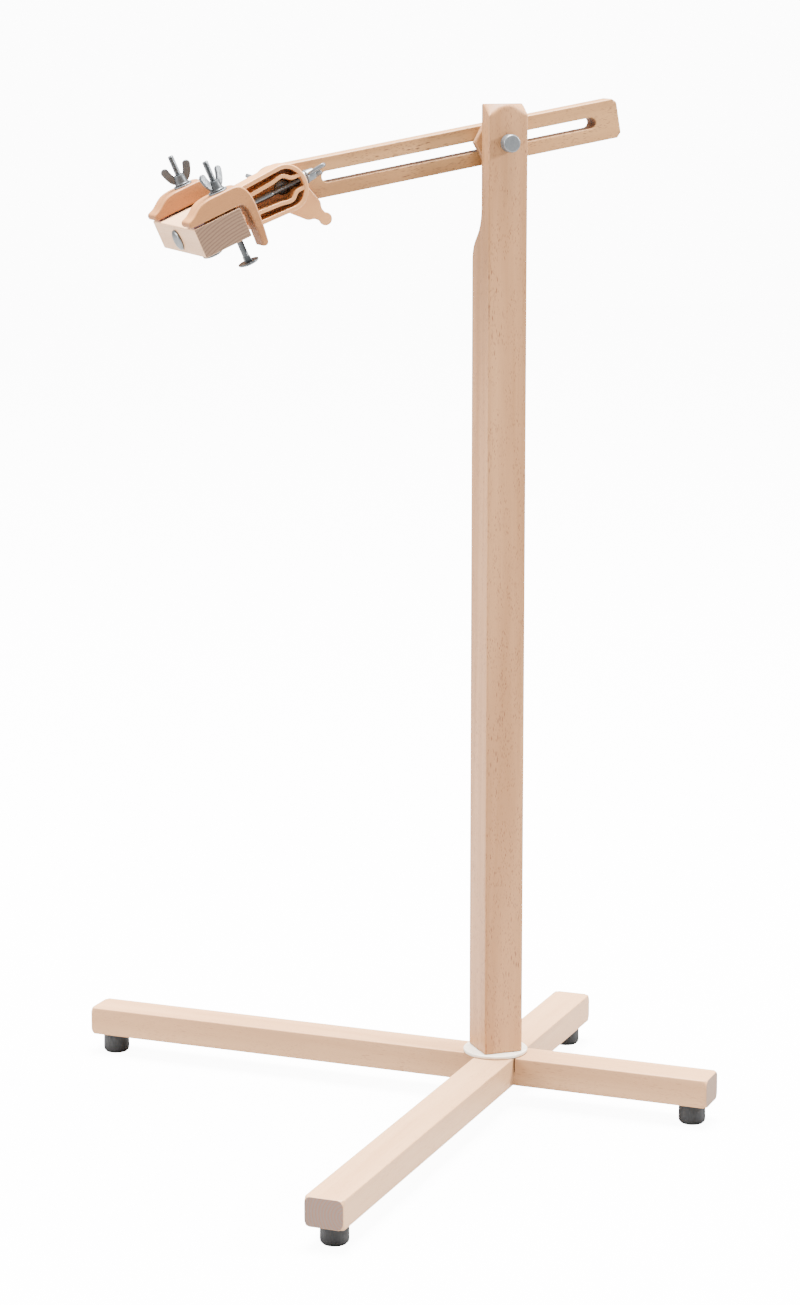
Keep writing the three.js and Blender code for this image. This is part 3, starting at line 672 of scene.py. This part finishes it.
def post_shape():
    """The post along Z: a rounded rectangle at each height whose back follows an ogee to the cut-back
    half, and a top drawn in by a turning cone."""
    half, back, cut = POST["width"] / 2, -POST_FRONT, POST_FRONT + STEP["thick"]
    middle = (STEP["start"] + STEP["end"]) / 2
    ogee = bezier((back, STEP["start"]), (back, middle), (cut, middle - 8), (cut, STEP["end"]), steps=26)
    low = POST["bottom"] + np.array((0, 0.15, 0.5, 1.0))
    crown = POST["top"] - np.array((16, 14, 12.5, 11.8, 11, 10, 8, 6, 4, 2.4, 1.2, 0.5, 0.15, 0))
    plain = np.linspace(POST["bottom"] + 20, STEP["start"] - 10, 18)
    cut_rows = np.linspace(STEP["end"], POST["top"] - 22, 6)
    z = np.concatenate((low, plain, ogee[:, 1], cut_rows, crown))
    depth = np.concatenate((np.full(len(low) + len(plain), back), ogee[:, 0],
                            np.full(len(cut_rows) + len(crown), cut)))
    rows = []
    for height, rear in zip(z, depth):
        from_end = min(height - POST["bottom"], POST["top"] - height)
        soften = 0.7 * max(0.0, 1 - from_end) ** 2
        rows.append(rounded_rectangle((-half + soften, POST_FRONT + soften),
                                      (half - soften, rear - soften), 1.5))
    section = np.array(rows)
    along = np.broadcast_to(z[:, None], section.shape[:2])
    section = turned_limit(section, np.zeros(2), along, POST["top"], **TURNED_END)
    return shell(np.concatenate((section, np.broadcast_to(z[:, None, None], (*section.shape[:2], 1))), -1))


piece("post_beech", post_shape(), COLUMN_PLACE, "column", post_beech, "post")

# ---------------------------------------------------------------- bolts and wing nuts


def bolt_rows(radius, low, high, thread_from, pitch, sides):
    """A shaft along Z: straight, then with a thread whose radius dips once a turn and once a pitch,
    and a tip taken in."""
    smooth = np.linspace(low, max(thread_from, low), 8)[:-1]
    fine = np.arange(thread_from, high, pitch / 6)
    z = np.concatenate((smooth, fine, [high]))
    angle = np.linspace(0, 2 * np.pi, sides, endpoint=False)
    phase = (z[:, None] / pitch - angle / (2 * np.pi)) % 1
    depth = 0.09 * radius * 2 * np.clip((z - thread_from) / pitch, 0, 1)
    r = radius - depth[:, None] * np.abs(2 * phase - 1)
    r = np.minimum(r, radius * 0.78 + np.maximum(high - z, 0)[:, None] * 0.9)
    return np.stack((r * np.cos(angle), r * np.sin(angle), np.broadcast_to(z[:, None], r.shape)), -1)


def carriage_bolt(radius, length, head_radius, head_height, neck, thread):
    """A domed head below z = 0, a square neck, and a shaft whose last `thread` millimetres are
    threaded."""
    turn = np.linspace(0.06, np.pi / 2, 12)
    dome = np.stack((head_radius * np.sin(turn), -0.9 - (head_height - 0.9) * np.cos(turn)), -1)
    rim = [(head_radius, -0.25), (head_radius - 0.25, 0), (radius * 0.9, 0)]
    head = turned(np.concatenate((dome, rim)), 56)
    square = np.array([rounded_rectangle((-radius, -radius), (radius, radius), 0.4, 3, 2)] * 2)
    heights = np.array((-0.4, neck))[:, None, None]
    collar = shell(np.concatenate((square, np.broadcast_to(heights, (2, square.shape[1], 1))), -1))
    return joined(head, collar, shell(bolt_rows(radius, -0.3, length, length - thread, 1.0, 24)))


def wing_nut(size):
    """A wing nut on z = 0 with its wings along X: a turned cone on a flange, and two plates that
    lean out and end in round tips."""
    profile = [(1.0, 0), (6.5, 0), (6.9, 0.4), (6.9, 1.1), (6.3, 1.6), (6.0, 2.4), (5.6, 6.0),
               (5.2, 8.9), (4.8, 9.4), (3.2, 9.4), (3.1, 9.0), (1.0, 9.0)]
    body = turned(profile, 40)
    sweep = bezier((2, 1.8), (6.6, 1.8), steps=3)
    outer = bezier((6.6, 1.8), (9.6, 3.0), (12.4, 7.6), (14.2, 13.9), steps=8)
    tip = arc((10.9, 16.0), 3.9, -32, 150, 14)
    inner = bezier((7.5, 17.9), (6.4, 13.0), (4.4, 9.8), steps=6)
    outline = np.concatenate((sweep, outer, tip, inner[1:], [(4.4, 9.2), (2, 9.2)]))
    one = plate(outline, -1.4, 1.4, 0.9, 4)
    other = (one[0] * (-1, -1, 1), one[1])
    points, faces = joined(body, one, other)
    return points * size, faces


hub_outer = POST_FRONT - GAP - HUB_CAP["height"]
cap_radius = HUB_CAP["radius"]
cap_rim = arc((cap_radius - 1.6, 1.6), 1.6, -90, 0, 8)
cap_profile = np.concatenate(([(0.6, 0.0)], cap_rim, [(cap_radius, HUB_CAP["height"] - 0.2),
                              (cap_radius - 0.2, HUB_CAP["height"]), (3.0, HUB_CAP["height"])]))
hub_end = ARM_BACK + HUB_BOLT["past_arm"] - hub_outer
hub_shaft = bolt_rows(HUB_BOLT["radius"], HUB_CAP["height"] - 1, hub_end, HUB_BOLT["thread_from"],
                      HUB_BOLT["pitch"], 24)
piece("hub_bolt_zinc", joined(turned(cap_profile, 64), shell(hub_shaft)),
      within(HUB_PLACE, (0, hub_outer, 0), LYING_Y), "column", zinc, "hub_bolt")

hexagon = arc((0, 0), SPACER["radius"], 0, 300, 5)
spacer_low = POST_FRONT + STEP["thick"] + GAP
piece("hub_spacer_beech", plate(hexagon, spacer_low, spacer_low + SPACER["thick"], 1.2),
      HUB_PLACE, "column", spacer_beech, "hub_spacer")

washer_low = ARM_BACK + GAP
nut_low = washer_low + WASHER + GAP
piece("hub_washer_zinc", ring(4.1, 14, washer_low, washer_low + WASHER),
      within(HUB_PLACE, (0, 0, 0), LYING_Y), "hub_clamp", zinc, "hub_washer")
piece("hub_wing_nut_zinc", wing_nut(LARGE_NUT),
      within(HUB_PLACE, (0, nut_low, 0), turned_about_z(NUT_TURN["hub"]) @ LYING_Y),
      "hub_nut", zinc, "hub_wing_nut")

# ---------------------------------------------------------------- arm


def arm_shape():
    """The arm's outline and its slot are walked together, straight by straight and end by end; the
    square end is drawn in by a turning cone."""
    half, radius = ARM["width"] / 2, SLOT["width"] / 2
    dense = ARM["right"] - np.array((1.7, 2.1, 2.5, 3.0, 3.5, 4.0, 4.5, 5.0, 5.6, 6.4, 9.0, 14.0))
    top_x = np.concatenate((dense, np.linspace(ARM["right"] - 20, ARM["pivot"], 22)))
    slot_x = np.linspace(SLOT["right"] - radius - 0.4, SLOT["left"] + radius + 0.4, len(top_x))
    outer_top = np.stack((top_x, np.full(len(top_x), half)), -1)
    slot_top = np.stack((slot_x, np.full(len(top_x), radius)), -1)
    outer_left = arc((ARM["pivot"], 0), half, 90, 270, 28)[1:-1]
    slot_left = arc((SLOT["left"] + radius, 0), radius, 90, 270, 28)[1:-1]
    end_z = np.linspace(-half, half, 19)
    outer_right = np.stack((np.full(len(end_z), ARM["right"]), end_z), -1)
    slot_right = arc((SLOT["right"] - radius, 0), radius, -90, 90, len(end_z) - 1)
    flip = np.array((1, -1))
    outer = np.concatenate((outer_top, outer_left, (outer_top * flip)[::-1], outer_right))
    slot = np.concatenate((slot_top, slot_left, (slot_top * flip)[::-1], slot_right))
    points, faces = band(outer, slot, ARM_FRONT, ARM_BACK, 1.3, 4, across=9)
    axis = np.array(((ARM_FRONT + ARM_BACK) / 2, 0))
    across = turned_limit(points[:, 1:], axis, points[:, 0], ARM["right"], **ARM_END)
    return np.concatenate((points[:, :1], across), -1), faces


piece("arm_beech", arm_shape(), ARM_PLACE, "arm", arm_beech, "arm")

# ---------------------------------------------------------------- clip, plate and pivot


def clip_line(draw_in):
    """The clip's outline from its lower open end round to its upper one."""
    start = (CLIP["open"], -CLIP["mouth"] + draw_in)
    belly = CLIP["belly"] - draw_in
    lower = bezier(start, (0, -belly), steps=10)
    angle = np.radians(np.linspace(-90, 90, 33))
    end = np.stack(((CLIP["end"] - draw_in) * np.cos(angle), belly * np.sin(angle)), -1)
    upper = bezier((0, belly), (CLIP["open"], CLIP["mouth"] - draw_in), steps=10)
    return np.concatenate((lower, end, upper[1:], [(CLIP["open"], CLIP["mouth"] - draw_in)]))


def jaw_line():
    """The middle of a jaw: straight, out round the pivot's head, and back in to the round end."""
    return np.concatenate((
        bezier((-46.5, 8.4), (-13, 10.7), steps=8),
        bezier((-13, 10.7), (-7, 11.2), (-6, 12.6), (-1.5, 12.4), steps=10),
        bezier((-1.5, 12.4), (3.5, 12.2), (4, 6.8), (9, 6.6), steps=12),
        bezier((9, 6.6), (18.2, 6.2), steps=4), [(18.2, 6.2)]))


def thickened(line, thick):
    """A line as an outline: its points moved half the thickness to each side."""
    along = np.gradient(line, axis=0)
    along /= np.linalg.norm(along, axis=1, keepdims=True)
    normal = np.stack((-along[:, 1], along[:, 0]), -1) * thick / 2
    return np.concatenate((line - normal, (line + normal)[::-1]))


def clip_shape():
    """The clip: a bent band, a web at its back, and two sprung jaws that mirror each other."""
    outer, inner = clip_line(0), clip_line(CLIP["wall"])
    loop = plate(np.concatenate((outer, inner[::-1])), CLIP_FRONT, CLIP_BACK, 1.1)
    web = plate(clip_line(CLIP["wall"] - 1.2), WEB_FRONT, CLIP_BACK - 0.6, 0.3, 2)
    jaw = plate(thickened(jaw_line(), JAW["thick"]), CLIP_FRONT + JAW["set_back"], WEB_FRONT + 1, 0.9)
    return joined(loop, web, jaw, (jaw[0] * (1, 1, -1), [face[::-1] for face in jaw[1]]))


def plate_outline():
    """A disc drawn out to a narrow neck and a round finger nub."""
    reach, nub = PLATE["nub_reach"], PLATE["nub_radius"]
    disc = arc((0, 0), PLATE["radius"], 52, 308, 44)
    lower = np.concatenate((
        bezier(disc[-1], (38, -11.6), steps=6),
        bezier((38, -11.6), (41.5, -11), (43.5, -8.4), steps=6),
        bezier((43.5, -8.4), (46, -5.2), (51.2, -5.0), steps=6)))
    tip = arc((reach, 0), nub, 232.5, 487.5, 26)
    upper = (lower * (1, -1))[::-1][:-1]
    outline = np.concatenate((disc[:-1], lower, tip, upper))
    c, s = np.cos(PLATE["turn"]), np.sin(PLATE["turn"])
    return outline @ np.array(((c, s), (-s, c)))


piece("clip_moulding", clip_shape(), HEAD_PLACE, "head", peach, "clip")
plate_low = CLIP_BACK + GAP
piece("pivot_plate_moulding", plate(plate_outline(), plate_low, plate_low + PLATE["thick"], 0.9),
      HEAD_PLACE, "head", peach, "pivot_plate")
pivot_bolt = carriage_bolt(BOLT_RADIUS, washer_low + PIVOT_PAST_WASHER - WEB_FRONT + GAP, **PIVOT_END)
piece("pivot_bolt_steel", pivot_bolt, within(HEAD_PLACE, (0, WEB_FRONT - GAP, 0), LYING_Y),
      "head", dark_steel, "pivot_bolt")
piece("pivot_washer_zinc", ring(3.3, 10, washer_low, washer_low + WASHER),
      within(HEAD_PLACE, (0, 0, 0), LYING_Y), "head", zinc, "pivot_washer")
piece("pivot_wing_nut_zinc", wing_nut(LARGE_NUT),
      within(HEAD_PLACE, (0, nut_low, 0), turned_about_z(NUT_TURN["pivot"]) @ LYING_Y),
      "pivot_nut", zinc, "pivot_wing_nut")

# ---------------------------------------------------------------- rod, block and claws

rod_start = BLOCK["front"] - GAP
piece("rod_steel", carriage_bolt(BOLT_RADIUS, ROD["end"] - rod_start, **ROD_END),
      within(HEAD_PLACE, (rod_start, ROD_Y, 0), LYING_X), "hoop_block", dark_steel, "rod")
rod_washer_low = CLIP["end"] + GAP
piece("rod_washer_zinc", ring(3.1, 6.5, rod_washer_low, rod_washer_low + WASHER),
      within(HEAD_PLACE, (0, ROD_Y, 0), LYING_X), "hoop_block", zinc, "rod_washer")
piece("rod_wing_nut_zinc", wing_nut(1.0),
      within(HEAD_PLACE, (rod_washer_low + WASHER + GAP, ROD_Y, 0),
             turned_about_z(NUT_TURN["rod"]) @ LYING_X),
      "rod_nut", zinc, "rod_wing_nut")


def block_shape():
    """The block along Y: a rounded rectangle at each place along it, its two ends softened."""
    half_height, half_width = BLOCK["height"] / 2, BLOCK["width"] / 2
    soft = np.array((0, 0.15, 0.45, 0.9, 1.5))
    y = np.concatenate((-half_width + soft, np.linspace(-half_width + 6, half_width - 6, 14),
                        (half_width - soft)[::-1]))
    rows = []
    for place_y in y:
        soften = 0.7 * max(0.0, 1 - (half_width - abs(place_y)) / 0.9) ** 2
        rows.append(rounded_rectangle((BLOCK["front"] + soften, -half_height + soften),
                                      (BLOCK["rear"] - soften, half_height - soften), 1.5, 6))
    section = np.array(rows)
    y = np.broadcast_to(y[:, None], section.shape[:2]) + ROD_Y
    return shell(np.stack((section[..., 0], y, section[..., 1]), -1))


piece("block_beech", block_shape(), HEAD_PLACE, "hoop_block", block_beech, "block")


def claw_outline():
    """A claw from the side: a tapering beak over the block's top, a high back, and a leg behind."""
    low, top = CLAW["underside"], CLAW["top"]
    return np.concatenate((
        bezier((-113, low), (-115.6, low + 0.2), (-115.8, low + 3), steps=7),
        bezier((-115.8, low + 3), (-115.8, 22.2), (-112.6, 23), steps=7),
        bezier((-112.6, 23), (-106, 24.6), (-103, 30), (-96, 32.2), steps=14),
        bezier((-96, 32.2), (-92, top - 0.2), (-86, top), steps=7),
        bezier((-86, top), (-64, top), steps=6),
        bezier((-64, top), (-54, top - 0.4), (-49.6, 25), (-49.5, 9), steps=16),
        bezier((-49.5, 9), (-50.1, -8), (-52.4, -24.5), steps=10),
        bezier((-52.4, -24.5), (-53.6, -29.8), (-58.7, -27.6), steps=9),
        bezier((-58.7, -27.6), (-58, -10), (-58.2, 3), steps=10),
        bezier((-58.2, 3), (-58.4, low), (-65, low), steps=10),
        bezier((-65, low), (-113, low), steps=12)))


claw_half = CLAW["width"] / 2
claw_seat = CLAW["top"] - SEAT_DEPTH
pad_low, pad_high = (-112, BLOCK["height"] / 2 + GAP), (-101, CLAW["underside"] - GAP)
pad_outline = rounded_rectangle(pad_low, pad_high, 0.3, 6, 2)
for side, offset in (("near", -CLAW["spread"]), ("far", CLAW["spread"])):
    where = within(HEAD_PLACE, (0, ROD_Y + offset, 0), np.eye(3))
    on_bolt = within(where, (CLAW["bolt_at"], 0, 0), np.eye(3))
    body = f"claw_{side}"
    piece(f"claw_{side}_beech", plate(claw_outline(), -claw_half, claw_half, 1.6, 5), where,
          body, claw_beech, f"claw_{side}")
    piece(f"claw_pad_{side}_felt", plate(pad_outline, -9, 9, 0.3, 2), where,
          body, felt, f"claw_pad_{side}")
    # The claw's bolt and wing nut take the darker copy of the zinc, which carries painted shade.
    piece(f"claw_bolt_{side}_zinc",
          carriage_bolt(BOLT_RADIUS, CLAW_BOLT["high"] - CLAW_BOLT["low"], **CLAW_BOLT_END),
          within(on_bolt, (0, 0, CLAW_BOLT["low"]), np.eye(3)), body, shaded_zinc,
          f"claw_bolt_{side}")
    piece(f"claw_washer_{side}_zinc", ring(3.1, 9, claw_seat + GAP, claw_seat + GAP + WASHER), on_bolt,
          body, zinc, f"claw_washer_{side}")
    piece(f"claw_wing_nut_{side}_zinc", wing_nut(1.0),
          within(on_bolt, (0, 0, claw_seat + WASHER + 2 * GAP), turned_about_z(NUT_TURN[side])),
          f"claw_nut_{side}", shaded_zinc, f"claw_wing_nut_{side}")

# ---------------------------------------------------------------- floor, light and camera


FLOOR_REACH = 8.0  # metres from the middle to a side
FLOOR_GLOW = 11.2  # what the floor adds where the camera sees it
BACKDROP = {"as light": 0.75, "in view": 12.0}


def pale_floor():
    """A wide pale floor under the stand."""
    mesh = bpy.data.meshes.new("floor")
    corners = np.array(((-1, -1, 0), (1, -1, 0), (1, 1, 0), (-1, 1, 0)), float) * FLOOR_REACH
    mesh.from_pydata(corners.tolist(), [], [(0, 1, 2, 3)])
    floor = bpy.data.objects.new("floor", mesh)
    bpy.context.scene.collection.objects.link(floor)
    material, n, shader = blank("pale_floor")
    shader.inputs["Base Color"].default_value = (0.35, 0.35, 0.35, 1)
    shader.inputs["Roughness"].default_value = 0.9
    shader.inputs["Emission Color"].default_value = (1, 1, 1, 1)
    seen = n.new("ShaderNodeLightPath").outputs["Is Camera Ray"]
    n.put(shader.inputs["Emission Strength"], n.math("MULTIPLY", seen, FLOOR_GLOW))
    mesh.materials.append(material)


def soft_light(name, location, target, size, power):
    """A round area light at a location, turned to face a target."""
    data = bpy.data.lights.new(name, "AREA")
    data.shape = "DISK"
    data.size = size
    data.energy = power
    light = bpy.data.objects.new(name, data)
    light.location = location
    direction = np.array(target, float) - np.array(location, float)
    light.rotation_mode = "QUATERNION"
    light.rotation_quaternion = Vector(direction).to_track_quat("-Z", "Y")
    bpy.context.scene.collection.objects.link(light)


pale_floor()
soft_light("right_key", (3.0, -1.4, 2.0), (0, 0, 0.5), 0.45, 260)
soft_light("left_fill", (-3.0, 0.3, 1.6), (0, 0, 0.5), 1.8, 185)
soft_light("top_light", (0.2, 0.3, 6.0), (0, 0, 0.3), 3.0, 3700)
world = bpy.data.worlds.new("studio")
world.use_nodes = True
sky = Nodes(world.node_tree)
background = world.node_tree.nodes["Background"]
background.inputs["Color"].default_value = (1, 1, 1, 1)
in_view = sky.new("ShaderNodeLightPath").outputs["Is Camera Ray"]
strength = sky.ramp(in_view, 0, 1, BACKDROP["as light"], BACKDROP["in view"], smooth=False)
sky.put(background.inputs["Strength"], strength)
bpy.context.scene.world = world

CAMERA_AT = (-1.1581, -3.0420, 1.0961)
CAMERA_TURN = np.radians(-20.34)
CAMERA_TILT = np.radians(-10.26)
camera_data = bpy.data.cameras.new("camera")
camera_data.sensor_width = 36
camera_data.lens = 94.5
camera_data.shift_y = -0.0322
camera = bpy.data.objects.new("camera", camera_data)
camera.location = CAMERA_AT
camera.rotation_euler = (np.pi / 2 + CAMERA_TILT, 0, CAMERA_TURN)
bpy.context.scene.collection.objects.link(camera)
bpy.context.scene.camera = camera
